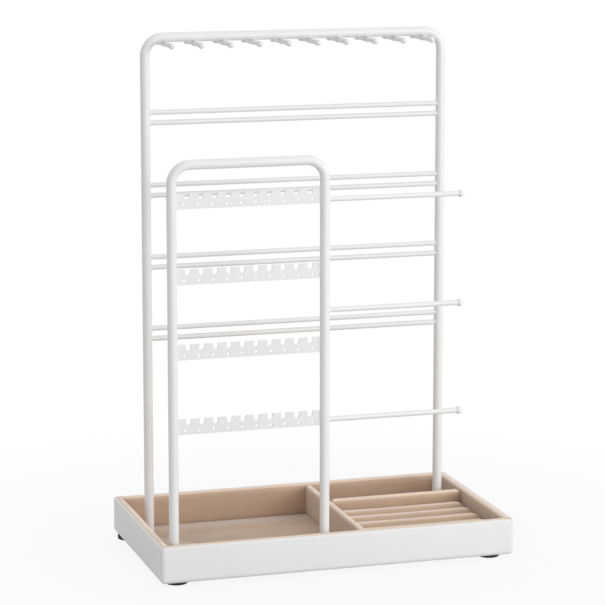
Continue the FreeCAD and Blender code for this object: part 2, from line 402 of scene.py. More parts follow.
def placed(name: str, data: bpy.types.ID) -> bpy.types.Object:
    """Puts a new object of some data in the scene.

    Args:
        name: The object's name.
        data: Its mesh, curve, lamp or camera.

    Returns:
        The object.
    """
    made = bpy.data.objects.new(name, data)
    bpy.context.scene.collection.objects.link(made)
    return made


def finished(name: str, data: bpy.types.Mesh, finish: Finish, crease: float = METAL_CREASE) -> bpy.types.Object:
    """Makes an object of a mesh, with its finish and with edges sharp past an angle.

    Args:
        name: The piece's name.
        data: Its mesh, in place.
        finish: The finish that covers it.
        crease: The angle in degrees past which an edge stays sharp.

    Returns:
        The new object, in the scene.
    """
    data.name = name
    data.materials.clear()
    data.materials.append(finish.material())
    data.shade_smooth()
    data.set_sharp_from_angle(angle=math.radians(crease))
    return placed(name, data)


def plain_mesh(made: bpy.types.Object) -> bpy.types.Mesh:
    """The object's evaluated mesh as a mesh of its own."""
    graph = bpy.context.evaluated_depsgraph_get()
    return bpy.data.meshes.new_from_object(made.evaluated_get(graph), depsgraph=graph)


def seat(piece: bpy.types.Object, body: Body, nodes: Iterable[str]) -> None:
    """Rides a finished piece on a body in place of CAD nodes.

    Args:
        piece: The piece, in place.
        body: The body that it moves with.
        nodes: The nodes that it stands for.
    """
    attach(piece, body.value)
    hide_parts(*nodes)
    log.info("%s: %d faces on %s", piece.name, len(piece.data.polygons), body.value)


def named(prefix: str) -> list[str]:
    """The CAD nodes whose names start with a prefix, in order."""
    return sorted(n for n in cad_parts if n.startswith(prefix))


def middle(node: str) -> Vector:
    """The middle of a CAD node's box."""
    low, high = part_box(node)
    return (low + high) / 2


def ease(value: float, low: float, high: float) -> float:
    """0 up to low, 1 from high on, and a smooth step between."""
    share = min(max((value - low) / (high - low), 0.0), 1.0)
    return share * share * (3 - 2 * share)


def circle(centre: Vector, radius: float, sides: int) -> list[Vector]:
    """Points round a level circle."""
    turns = [2 * math.pi * n / sides for n in range(sides)]
    return [centre + Vector((math.cos(t), math.sin(t), 0)) * radius for t in turns]


def rounded_rectangle(box: Box, inset: float, z: float, radius: float, steps: int) -> list[Vector]:
    """Points round a level rectangle with rounded corners.

    Args:
        box: A box's lowest and highest corners.
        inset: How far inside its walls the rectangle is.
        z: The rectangle's height.
        radius: The corners' radius.
        steps: Steps round each corner.

    Returns:
        The points, anticlockwise seen from above.
    """
    grow = Vector((inset, inset, 0))
    low, high = box[0] + grow, box[1] - grow
    radius = max(radius, LEAST_RADIUS)
    corners = ((high.x, high.y, 0), (low.x, high.y, 90), (low.x, low.y, 180), (high.x, low.y, 270))
    points = []
    for x, y, start in corners:
        centre_x = x - math.copysign(radius, x - (low.x + high.x) / 2)
        centre_y = y - math.copysign(radius, y - (low.y + high.y) / 2)
        for n in range(steps + 1):
            turn = math.radians(start + 90 * n / steps)
            points.append(Vector((centre_x + radius * math.cos(turn), centre_y + radius * math.sin(turn), z)))
    return points


class Form:
    """A mesh being built from rings of points."""

    MERGE = 0.002 * MM

    def __init__(self) -> None:
        """Starts empty."""
        self.mesh = bmesh.new()
        # Per-point mask of painted light on the crests.
        self.crest_light = self.mesh.verts.layers.float.new(PAINTED_CREST_LIGHT)

    def ring(self, points: Iterable[Vector], crest_light: Sequence[float] = ()) -> Ring:
        """Adds a ring.

        Args:
            points: Its points in order.
            crest_light: How much painted light each point gets, from 0 to 1.

        Returns:
            The ring's corners.
        """
        ring = [self.mesh.verts.new(p) for p in points]
        for corner, amount in zip(ring, crest_light):
            corner[self.crest_light] = amount
        return ring

    def tube(self, rings: Sequence[Ring]) -> None:
        """Joins each ring to the next, which has as many points, by a band of faces.

        Args:
            rings: The rings in order.
        """
        for low, high in zip(rings, rings[1:]):
            for n, corner in enumerate(low):
                after = (n + 1) % len(low)
                self.mesh.faces.new((corner, low[after], high[after], high[n]))

    def lid(self, ring: Ring) -> None:
        """Closes a ring with one face."""
        self.mesh.faces.new(ring)

    def loft(self, rings: Sequence[Ring]) -> None:
        """Joins each ring to the next and closes both ends.

        Args:
            rings: The rings in order.
        """
        self.tube(rings)
        self.lid(rings[0])
        self.lid(rings[-1])

    def plate(self, *rings: Ring) -> None:
        """Fills the space between an outer ring and the rings of the holes in it.

        Args:
            rings: The outer ring, then the holes.
        """
        edges = []
        for ring in rings:
            for n, corner in enumerate(ring):
                pair = (corner, ring[(n + 1) % len(ring)])
                edges.append(self.mesh.edges.get(pair) or self.mesh.edges.new(pair))
        bmesh.ops.triangle_fill(self.mesh, use_beauty=True, edges=edges)

    def pierced(self, rings: Sequence[Ring], spots: Iterable[Vector], bore: Profile, sides: int) -> None:
        """Joins rings into a shell and plates both its ends, with a hole right through at each spot.

        Args:
            rings: The shell's rings in order.
            spots: Where the holes are, seen from above.
            bore: A hole's heights and its radius at each, from the first plate to the last.
            sides: A hole's sides.
        """
        self.tube(rings)
        holes = [[self.ring(circle(Vector((p.x, p.y, z)), r, sides)) for z, r in bore] for p in spots]
        for hole in holes:
            self.tube(hole)
        self.plate(rings[0], *(hole[0] for hole in holes))
        self.plate(rings[-1], *(hole[-1] for hole in holes))

    def data(self) -> bpy.types.Mesh:
        """Merges doubles and turns the faces outwards.

        Returns:
            The mesh.
        """
        bmesh.ops.remove_doubles(self.mesh, verts=self.mesh.verts, dist=self.MERGE)
        bmesh.ops.recalc_face_normals(self.mesh, faces=self.mesh.faces)
        data = bpy.data.meshes.new("form")
        self.mesh.to_mesh(data)
        self.mesh.free()
        return data


def rail(points: Path, closed: bool = False) -> bpy.types.Object:
    """A curve of straight runs.

    Args:
        points: Its corners, each with the radius there.
        closed: Whether it runs back to its start.

    Returns:
        The curve, in the scene.
    """
    data = bpy.data.curves.new("rail", "CURVE")
    data.dimensions = "3D"
    spline = data.splines.new("POLY")
    spline.points.add(len(points) - 1)
    for place, (corner, radius) in zip(spline.points, points):
        place.co = (*corner, 1)
        place.radius = radius
    spline.use_cyclic_u = closed
    return placed("rail", data)


class Rule(Tree):
    """A geometry tree that makes a shape from a base object and named sizes."""

    KINDS = {int: "NodeSocketInt", float: "NodeSocketFloat", Vector: "NodeSocketVector"}

    def __init__(self, name: str, sizes: dict[str, Any]) -> None:
        """Opens the tree.

        Args:
            name: The tree's name.
            sizes: Its inputs by label, as whole numbers, lengths or vectors.
        """
        super().__init__(bpy.data.node_groups.new(name, "GeometryNodeTree"))
        self.sizes = sizes
        face = self.nodes.interface
        face.new_socket("Base", in_out="INPUT", socket_type="NodeSocketGeometry")
        face.new_socket("Shape", in_out="OUTPUT", socket_type="NodeSocketGeometry")
        for label, size in sizes.items():
            face.new_socket(label, in_out="INPUT", socket_type=self.KINDS[type(size)])
        self.entry = self.nodes.nodes.new("NodeGroupInput")

    def given(self, label: str) -> Value:
        """One of the tree's inputs; the base object's shape is Base."""
        return Value(self, self._pick(self.entry.outputs, label))

    def join(self, *parts: Value) -> Value:
        """Parts as one geometry."""
        return self.node("GeometryNodeJoinGeometry", {}, {"Geometry": list(parts)})

    def outline(self, sides: int, radius: Operand) -> Value:
        """A round outline."""
        return self.node("GeometryNodeCurvePrimitiveCircle", {}, {"Resolution": sides, "Radius": radius})

    def round_bar(self, path: Value, sides: int) -> Value:
        """A round bar along a path, as thick as the path's own radius says."""
        values = {"Curve": path, "Profile Curve": self.outline(sides, 1.0), "Fill Caps": True}
        return self.node("GeometryNodeCurveToMesh", {}, values | {"Scale": self.node("GeometryNodeInputRadius")})

    def row(self, count: str, first: str, step: str) -> Value:
        """Points in a row, from the inputs with these labels."""
        values = {"Count": self.given(count), "Start Location": self.given(first), "Offset": self.given(step)}
        return self.node("GeometryNodeMeshLine", {"mode": "OFFSET"}, values)

    def copies(self, shape: Value, points: Value) -> Value:
        """The shape at each point."""
        return self.node("GeometryNodeInstanceOnPoints", {}, {"Points": points, "Instance": shape})

    def grow(self, shape: Value, base: bpy.types.Object, name: str, finish: Finish) -> bpy.types.Object:
        """Ends the tree, runs it on the base object and keeps the result as a plain piece.

        Args:
            shape: What the tree has made.
            base: The object that the tree starts from; it is used up.
            name: The new piece's name.
            finish: The finish that covers it.

        Returns:
            The piece.
        """
        whole = self.node("GeometryNodeRealizeInstances", {}, {"Geometry": shape})
        dressed = self.node("GeometryNodeSetMaterial", {}, {"Geometry": whole, "Material": finish.material()})
        self.end("NodeGroupOutput", dressed)
        step = base.modifiers.new(self.nodes.name, "NODES")
        step.node_group = self.nodes
        for item in self.nodes.interface.items_tree:
            if item.name in self.sizes:
                step[item.identifier] = self.sizes[item.name]
        data = plain_mesh(base)
        base.modifiers.remove(step)
        bpy.data.objects.remove(base)
        return finished(name, data, finish)


@dataclass(frozen=True)
class BallEnd:
    """A ball that a rod runs into."""

    tip: float = 0.02 * MM
    steps: int = 10

    def stations(self, reach: float, rod: float, ball: float) -> Profile:
        """Pairs of distance out and radius, from the tip to the neck.

        Args:
            reach: How far out the ball's middle is.
            rod: The rod's radius.
            ball: The ball's radius.

        Returns:
            The stations.
        """
        neck = math.pi - math.asin(rod / ball)
        turns = [neck * n / self.steps for n in range(self.steps + 1)]
        return [(reach + ball * math.cos(t), max(ball * math.sin(t), self.tip)) for t in turns]


@dataclass(frozen=True)
class Weld:
    """A small smooth weld where a rod meets a tube."""

    rise: float = 0.25 * MM
    length: float = 0.6 * MM
    bury: float = 1.0 * MM
    steps: int = 4

    def stations(self, surface: float, rod: float) -> Profile:
        """Pairs of distance from the tube's middle and radius, from inside the tube outwards.

        Args:
            surface: The tube's radius.
            rod: The rod's radius.

        Returns:
            The stations.
        """
        made = [(surface - self.bury, rod + self.rise)]
        for n in range(self.steps + 1):
            left = 1 - n / self.steps
            made.append((surface + self.length * (1 - left), rod + self.rise * left**2))
        return made


@dataclass
class TubeFrame:
    """An upside-down U of bent tube, standing on the tray's floor."""

    node: str
    name: str
    bend_radius: float = 12 * MM
    bend_steps: int = 16
    tube_sides: int = 40
    bar_sides: int = 24
    ball_end: BallEnd = BallEnd()
    weld: Weld = Weld()

    def __post_init__(self) -> None:
        """Reads the tube's place from its CAD node."""
        low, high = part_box(self.node)
        self.tube = (high.y - low.y) / 2
        self.y = (high.y + low.y) / 2
        self.left = low.x + self.tube
        self.right = high.x - self.tube
        self.foot = low.z
        self.top = high.z - self.tube

    def build_tube(self) -> None:
        """Bends the tube round its two shoulders."""
        corners = [(self.left, self.foot), (self.left, self.top), (self.right, self.top), (self.right, self.foot)]
        path = rail([(Vector((x, self.y, z)), self.tube) for x, z in corners])
        rule = Rule("bent_tube", {"Bend Radius": self.bend_radius, "Bend Steps": self.bend_steps})
        values = {"Curve": rule.given("Base"), "Count": rule.given("Bend Steps"), "Radius": rule.given("Bend Radius")}
        bent = rule.node("GeometryNodeFilletCurve", {"mode": "POLY"}, values)
        piece = rule.grow(rule.round_bar(bent, self.tube_sides), path, self.name, STEEL)
        seat(piece, Body.STAND, [self.node])

    def _weld_bars(self, rule: Rule, points: Value, path: Path, name: str, nodes: list[str]) -> None:
        """Welds copies of a round bar to the frame as one piece.

        Args:
            rule: The rule that places them.
            points: Where the copies go.
            path: The bar's run, with its radius at each station.
            name: The piece's name.
            nodes: The nodes that it stands for.
        """
        bar = rule.round_bar(rule.given("Base"), self.bar_sides)
        piece = rule.grow(rule.copies(bar, points), rail(path), name, STEEL)
        seat(piece, Body.STAND, nodes)


@dataclass
class RearFrame(TubeFrame):
    """The tall frame, with its pairs of rods and its row of pegs."""

    node: str = "rear_frame_tube"
    name: str = "rear_frame"
    peg_radius: float = 1.6 * MM
    peg_set_in: float = 0.4 * MM
    collar_rise: float = 0.22 * MM
    collar_reach: Pair = (0.85, 1.1)

    def build_rods(self) -> None:
        """Welds the rod pairs between the posts."""
        nodes = named("rear_rod_")
        first, second = middle("rear_rod_1_upper"), middle("rear_rod_1_lower")
        low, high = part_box("rear_rod_1_upper")
        end = self.weld.stations(self.tube, (high.z - low.z) / 2)
        left = [(Vector((self.left + d, 0, 0)), r) for d, r in end]
        right = [(Vector((self.right - d, 0, 0)), r) for d, r in reversed(end)]
        rule = Rule("rod_pairs", {
            "Pairs": len(nodes) // 2,
            "First Upper": Vector((0, first.y, first.z)),
            "First Lower": Vector((0, second.y, second.z)),
            "Pitch": Vector((0, 0, middle("rear_rod_2_upper").z - first.z)),
        })
        points = rule.join(*(rule.row("Pairs", start, "Pitch") for start in ("First Upper", "First Lower")))
        self._weld_bars(rule, points, left + right, "rear_rods", nodes)

    def build_pegs(self) -> None:
        """Welds the row of double-ended pegs under the top tube."""
        nodes = named("necklace_peg_")
        low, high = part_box(nodes[0])
        first, last = middle(nodes[0]), middle(nodes[-1])
        ball, rod = (high.x - low.x) / 2, self.peg_radius
        near, far = (self.tube * share for share in self.collar_reach)
        half = self.ball_end.stations((high.y - low.y) / 2 - ball, rod, ball)
        half += [(far, rod), (near, rod + self.collar_rise)]
        stations = [(-d, r) for d, r in half] + [(0.0, rod + self.collar_rise)] + half[::-1]
        rule = Rule("peg_row", {
            "Pegs": len(nodes),
            "First": Vector((first.x, first.y, self.top - self.tube - rod + self.peg_set_in)),
            "Pitch": Vector(((last.x - first.x) / (len(nodes) - 1), 0, 0)),
        })
        path = [(Vector((0, d, 0)), r) for d, r in stations]
        self._weld_bars(rule, rule.row("Pegs", "First", "Pitch"), path, "necklace_pegs", nodes)


@dataclass
class FrontFrame(TubeFrame):
    """The low frame, with its earring strips and its bangle arms."""

    node: str = "front_frame_tube"
    name: str = "front_frame"
    arm_radius: float = 1.7 * MM
    notches: int = 10
    notch_from_post: float = 10 * MM
    notch_width: float = 3.2 * MM
    notch_depth: float = 3.9 * MM
    notch_steps: int = 8
    holes: int = 10
    hole_from_post: float = 8 * MM
    hole_radius: float = 1 * MM
    hole_below_top: float = 7.4 * MM
    hole_sides: int = 20
    sheet_merge: float = 0.005 * MM
    edge_round: float = 0.14 * MM
    edge_steps: int = 2

    def _strip_outline(self, height: float) -> list[Vector]:
        """The punched edge of a strip, lying level with its top at Y 0.

        Args:
            height: The strip's height.

        Returns:
            The points, from the top left corner.
        """
        bury = self.weld.bury
        left, right = self.left + self.tube - bury, self.right - self.tube + bury
        points = [Vector((x, y, 0)) for x, y in ((left, 0), (left, -height), (right, -height), (right, 0))]
        pitch = (self.right - self.left - 2 * self.notch_from_post) / (self.notches - 1)
        half = self.notch_width / 2
        root = -self.notch_depth + half
        turns = [math.pi * k / self.notch_steps for k in range(self.notch_steps + 1)]
        for n in reversed(range(self.notches)):
            x = self.left + self.notch_from_post + n * pitch
            bowl = [Vector((x + half * math.cos(t), root - half * math.sin(t), 0)) for t in turns]
            points += [Vector((x + half, 0, 0)), *bowl, Vector((x - half, 0, 0))]
        return points

    def build_strips(self) -> None:
        """Punches the earring strips and sets them between the posts."""
        nodes = named("earring_strip_")
        low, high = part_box(nodes[0])
        pitch = (self.right - self.left - 2 * self.hole_from_post) / (self.holes - 1)
        rule = Rule("punched_strips", {
            "Strips": len(nodes),
            "First": Vector((0, high.y, high.z)),
            "Pitch": Vector((0, 0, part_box(nodes[1])[1].z - high.z)),
            "Thickness": high.y - low.y,
            "Holes": self.holes,
            "Hole Radius": self.hole_radius,
            "First Hole": Vector((self.left + self.hole_from_post, -self.hole_below_top, 0)),
            "Hole Pitch": Vector((pitch, 0, 0)),
        })
        punch = rule.outline(self.hole_sides, rule.given("Hole Radius"))
        punches = rule.copies(punch, rule.row("Holes", "First Hole", "Hole Pitch"))
        holes = rule.node("GeometryNodeRealizeInstances", {}, {"Geometry": punches})
        edges = rule.join(rule.given("Base"), holes)
        face = rule.node("GeometryNodeFillCurve", {"mode": "NGONS"}, {"Curve": edges})
        raised = {"Mesh": face, "Offset Scale": rule.given("Thickness"), "Individual": False}
        front = rule.node("GeometryNodeExtrudeMesh", {}, raised)
        back = rule.node("GeometryNodeFlipFaces", {}, {"Mesh": face})
        closed = {"Geometry": rule.join(front, back), "Distance": self.sheet_merge}
        sheet = rule.node("GeometryNodeMergeByDistance", {}, closed)
        upright = rule.node("GeometryNodeTransform", {}, {"Geometry": sheet, "Rotation": (math.pi / 2, 0, 0)})
        strips = rule.copies(upright, rule.row("Strips", "First", "Pitch"))
        base = rail([(p, 1.0) for p in self._strip_outline(high.z - low.z)], closed=True)
        piece = rule.grow(strips, base, "earring_strips", STEEL)
        edge = piece.modifiers.new("rolled_edge", "BEVEL")
        edge.width = self.edge_round
        edge.segments = self.edge_steps
        edge.limit_method = "ANGLE"
        edge.use_clamp_overlap = False
        edge.harden_normals = True
        seat(piece, Body.STAND, nodes)

    def build_arms(self) -> None:
        """Welds the ball-ended arms to the right post."""
        nodes = named("bangle_arm_")
        low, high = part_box(nodes[0])
        first = middle(nodes[0])
        ball, rod = (high.z - low.z) / 2, self.arm_radius
        tip = self.ball_end.stations(high.x - self.right - ball, rod, ball)
        stations = self.weld.stations(self.tube, rod) + tip[::-1]
        rule = Rule("arm_row", {
            "Arms": len(nodes),
            "First": Vector((self.right, self.y, first.z)),
            "Pitch": Vector((0, 0, middle(nodes[1]).z - first.z)),
        })
        path = [(Vector((d, 0, 0)), r) for d, r in stations]
        self._weld_bars(rule, rule.row("Arms", "First", "Pitch"), path, "bangle_arms", nodes)


@dataclass(frozen=True)
class Screw:
    """A countersunk screw with a cross recess."""

    head: float = 2.8 * MM
    head_bevel: float = 0.15 * MM
    head_edge: Pair = (0.12 * MM, 0.25 * MM)
    head_height: float = 1.5 * MM
    shank: float = 1.5 * MM
    length: float = 12 * MM
    recess: float = 1.5 * MM
    recess_half_width: float = 0.4 * MM
    recess_depth: float = 0.9 * MM
    recess_taper: float = 0.6
    sides: int = 24

    def build(self) -> bpy.types.Object:
        """Turns one screw and sinks its recess.

        Returns:
            The screw, head down at the origin.
        """
        form = Form()
        sizes = [(0.0, self.head - self.head_bevel)] + [(up, self.head) for up in self.head_edge]
        sizes += [(self.head_height, self.shank), (self.length, self.shank)]
        rings = [form.ring(circle(Z_AXIS * up, r, self.sides)) for up, r in sizes]
        form.tube(rings)
        form.lid(rings[-1])
        arm, half = self.recess, self.recess_half_width
        cross = [(arm, -half), (arm, half), (half, half), (half, arm), (-half, arm), (-half, half)]
        outline = [Vector((x, y, 0)) * turn for turn in (1, -1) for x, y in cross]
        mouth = form.ring(outline)
        pit = form.ring(p * self.recess_taper + Z_AXIS * self.recess_depth for p in outline)
        form.plate(rings[0], mouth)
        form.tube([mouth, pit])
        form.lid(pit)
        return placed("screw", form.data())


@dataclass
class TrayShell:
    """The moulded tray, its rubber feet and the screws under it."""

    wall: float = 1.6 * MM
    floor: float = 2.0 * MM
    edge_radius: float = 3.0 * MM
    rim_radius: float = 0.95 * MM
    inner_rim_radius: float = 0.57 * MM
    steps: int = 8
    hole_mouth: float = 2.9 * MM
    hole_shank: float = 1.6 * MM
    hole_sides: int = 24
    foot_edge: float = 0.7 * MM
    foot_face: tuple[Pair, Pair] = ((0.0, 1.75 * MM), (0.02 * MM, 0.98 * MM))
    foot_top: tuple[Pair, Pair] = ((0.3 * MM, 0.0), (0.0, 0.2 * MM))
    foot_sides: int = 48
    screw: Screw = Screw()

    def __post_init__(self) -> None:
        """Reads the tray's place from its CAD node."""
        self.low, self.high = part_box("tray_shell")

    def _rounding(self) -> Profile:
        """Steps of a quarter turn, as shares of a radius in and up."""
        turns = [math.pi / 2 * n / self.steps for n in range(self.steps + 1)]
        return [(1 - math.sin(t), 1 - math.cos(t)) for t in turns]

    def build_shell(self) -> None:
        """Shells the tray, with rounded edges and countersunk screw holes."""
        form = Form()
        turn = self._rounding()
        bottom, floor, top = self.low.z, self.low.z + self.floor, self.high.z
        edge, rim, lip = self.edge_radius, self.rim_radius, self.inner_rim_radius
        inner = edge - self.wall
        stations = [(edge * i, bottom + edge * u, edge * (1 - i)) for i, u in turn]
        stations += [(rim * i, top - rim * u, edge - rim * i) for i, u in reversed(turn)]
        stations += [(self.wall - lip * i, top - lip * u, inner + lip * i) for i, u in turn]
        stations.append((self.wall, floor, inner))
        box = (self.low, self.high)
        rings = [form.ring(rounded_rectangle(box, *station, self.steps)) for station in stations]
        cone = bottom + self.hole_mouth - self.hole_shank
        bore = [(bottom, self.hole_mouth), (cone, self.hole_shank), (floor, self.hole_shank)]
        form.pierced(rings, map(middle, named("leg_insert_")), bore, self.hole_sides)
        seat(finished("tray", form.data(), TRAY), Body.STAND, ["tray_shell"])

    def _corners(self, name: str, prefix: str, z: float) -> tuple[Rule, Value]:
        """Opens a rule with a point at each of the four nodes of a kind.

        Args:
            name: The rule's name.
            prefix: How the nodes' names start, before their corner.
            z: The points' height.

        Returns:
            The rule and its points.
        """
        sizes: dict[str, Any] = {"Pair": 2}
        for row in ("Front", "Rear"):
            left, right = (middle(f"{prefix}{row.lower()}_{side}") for side in ("left", "right"))
            sizes |= {row: Vector((left.x, left.y, z)), f"{row} Step": right - left}
        rule = Rule(name, sizes)
        return rule, rule.join(*(rule.row("Pair", row, f"{row} Step") for row in ("Front", "Rear")))

    def build_feet(self) -> None:
        """Sticks a rubber foot under each corner."""
        nodes = named("foot_")
        low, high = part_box(nodes[0])
        radius, edge = (high.x - low.x) / 2, self.foot_edge
        stations = [(up, radius - inset) for up, inset in self.foot_face]
        stations += [(edge * u, radius - edge * i) for i, u in self._rounding()]
        stations += [(high.z - down, radius - inset) for down, inset in self.foot_top]
        rule, points = self._corners("feet", "foot_", 0.0)
        foot = rule.round_bar(rule.given("Base"), self.foot_sides)
        base = rail([(Z_AXIS * z, r) for z, r in stations])
        seat(rule.grow(rule.copies(foot, points), base, "rubber_feet", RUBBER), Body.STAND, nodes)

    def build_screws(self) -> None:
        """Drives a screw into the foot of each post."""
        rule, points = self._corners("frame_screws", "leg_insert_", self.low.z)
        piece = rule.grow(rule.copies(rule.given("Base"), points), self.screw.build(), "screws", ZINC)
        seat(piece, Body.STAND, ["frame_screws"])

    def dress_plugs(self) -> None:
        """Gives the threaded plugs inside the posts their finish."""
        for name in named("leg_insert_"):
            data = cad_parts[name].data
            data.materials.clear()
            data.materials.append(ZINC.material())


class Side(Enum):
    """Sides of the tray, as turns about Z that bring a board's back to that wall."""

    FRONT = 0
    RIGHT = 90
    REAR = 180
    LEFT = 270


@dataclass
class VelvetBoard:
    """A card board wrapped in thin foam and velvet, with a padded crest."""

    node: str
    body: Body
    side: Side
    crown: float = 1.4 * MM
    back_drop: float = 1.4 * MM
    foot_round: float = 0.4 * MM
    end_round: float = 0.0
    mitre_radius: float = 0.0
    face_steps: int = 6
    crest_steps: int = 14
    crest_width_power: float = 0.85
    crest_height_power: float = 0.9
    # Heights about the crest over which the painted crest light fades in.
    crest_light_band: Pair = (-0.5 * MM, 0.7 * MM)
    step: float = 2.0 * MM
    least_steps: int = 8
    unevenness: float = 0.1 * MM
    wave: float = 17 * MM
    firm_foot: float = 8 * MM
    sag_across: float = 0.6
    sag_down: float = 0.8
    fill: float = 0.9

    @property
    def along_x(self) -> bool:
        """Whether the board runs along X."""
        return self.side in (Side.FRONT, Side.REAR)

    def _profile(self, thickness: float, low: float, high: float) -> Profile:
        """The board's outline across its length.

        Args:
            thickness: The board's thickness.
            low: Its foot's height.
            high: Its crest's height.

        Returns:
            Pairs of depth and height.
        """
        half, foot, steps = thickness / 2, self.foot_round, self.face_steps
        front, back = high - self.crown, high - self.back_drop
        outline = [(foot, low), (half, low), (thickness - foot, low), (thickness, low + foot)]
        outline += [(thickness, low + (front - low) * n / steps) for n in range(1, steps)]
        for n in range(self.crest_steps + 1):
            turn = math.pi * n / self.crest_steps
            side, up = math.cos(turn), math.sin(turn)
            drop = self.crown if side > 0 else self.back_drop
            across = math.copysign(abs(side) ** self.crest_width_power, side)
            outline.append((half + half * across, high - drop * (1 - up**self.crest_height_power)))
        outline += [(0.0, low + (back - low) * n / steps) for n in range(steps - 1, 0, -1)]
        outline.append((0.0, low + foot))
        return outline

    def _end(self, half_length: float, depth: float, height: float, high: float) -> float:
        """How far along the board reaches.

        Args:
            half_length: Half the board's length.
            depth: The depth there.
            height: The height there.
            high: The crest's height.

        Returns:
            The distance from the board's middle.
        """
        cut = 0.0
        if self.mitre_radius:
            radius = self.mitre_radius
            corner = radius - math.sqrt(max(radius**2 - max(radius - depth, 0.0) ** 2, 0.0))
            cut = max(depth, corner)
        if self.end_round:
            over = max(height - (high - self.end_round), 0.0)
            cut += self.end_round - math.sqrt(max(self.end_round**2 - over**2, 0.0))
        return half_length - cut

    def _sag(self, point: Vector, centre: Vector, height: float) -> Vector:
        """The small unevenness of the wrapped velvet, always inwards and growing from the foot up.

        Args:
            point: A point of the even board.
            centre: The board's middle.
            height: The point's height over the foot.

        Returns:
            How far the point moves.
        """
        amount = (noise.noise(point / self.wave) - 1) / 2 * self.unevenness * min(1.0, height / self.firm_foot)
        across = Y_AXIS if self.along_x else X_AXIS
        outward = math.copysign(self.sag_across, (point - centre).dot(across)) * across + Z_AXIS * self.sag_down
        return outward * amount

    def build(self) -> None:
        """Wraps the board and seats it for its CAD node."""
        low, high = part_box(self.node)
        size, centre = high - low, (low + high) / 2
        length, thickness = (size.x, size.y) if self.along_x else (size.y, size.x)
        turn = Matrix.Rotation(math.radians(self.side.value), 4, "Z")
        place = Matrix.Translation((centre.x, centre.y, 0)) @ turn @ Matrix.Translation((0, -thickness / 2, 0))
        outline = self._profile(thickness, low.z, high.z)
        # Painted light: the crest is painted paler from a little below its top, as if lit from above.
        crest_light = [ease(h - high.z + self.crown, *self.crest_light_band) for _, h in outline]
        steps = max(self.least_steps, round(length / self.step))
        form = Form()
        rings = []
        for n in range(steps + 1):
            share = 2 * n / steps - 1
            points = []
            for depth, height in outline:
                along = share * self._end(length / 2, depth, height, high.z)
                point = place @ Vector((along, depth, height))
                points.append(point + self._sag(point, centre, height - low.z))
            rings.append(form.ring(points, crest_light))
        form.loft(rings)
        piece = finished(f"velvet_{self.node}", form.data(), VELVET, BOARD_CREASE)
        seat(piece, self.body, [self.node])


@dataclass
class FloorLining:
    """The velvet sheet on the tray's floor, with a hole for each post."""

    node: str = "lining_floor"
    clearance: float = 0.12 * MM
    edge: float = 0.25 * MM
    corner: float = 1 * MM
    corner_steps: int = 4
    sides: int = 32

    def build(self) -> None:
        """Cuts the sheet and lays it."""
        low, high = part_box(self.node)
        shoulder = high.z - self.edge
        form = Form()
        rings = []
        for inset, z in ((0.0, low.z), (0.0, shoulder), (self.edge, high.z)):
            outline = rounded_rectangle((low, high), inset, z, self.corner - inset, self.corner_steps)
            rings.append(form.ring(outline))
        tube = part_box("rear_frame_tube")
        radius = (tube[1].y - tube[0].y) / 2 + self.clearance
        posts = [middle(n) for n in named("leg_insert_")]
        bore = [(low.z, radius), (shoulder, radius), (high.z, radius + self.edge)]
        form.pierced(rings, posts, bore, self.sides)
        piece = finished("velvet_floor", form.data(), VELVET, BOARD_CREASE)
        seat(piece, Body.STAND, [self.node])


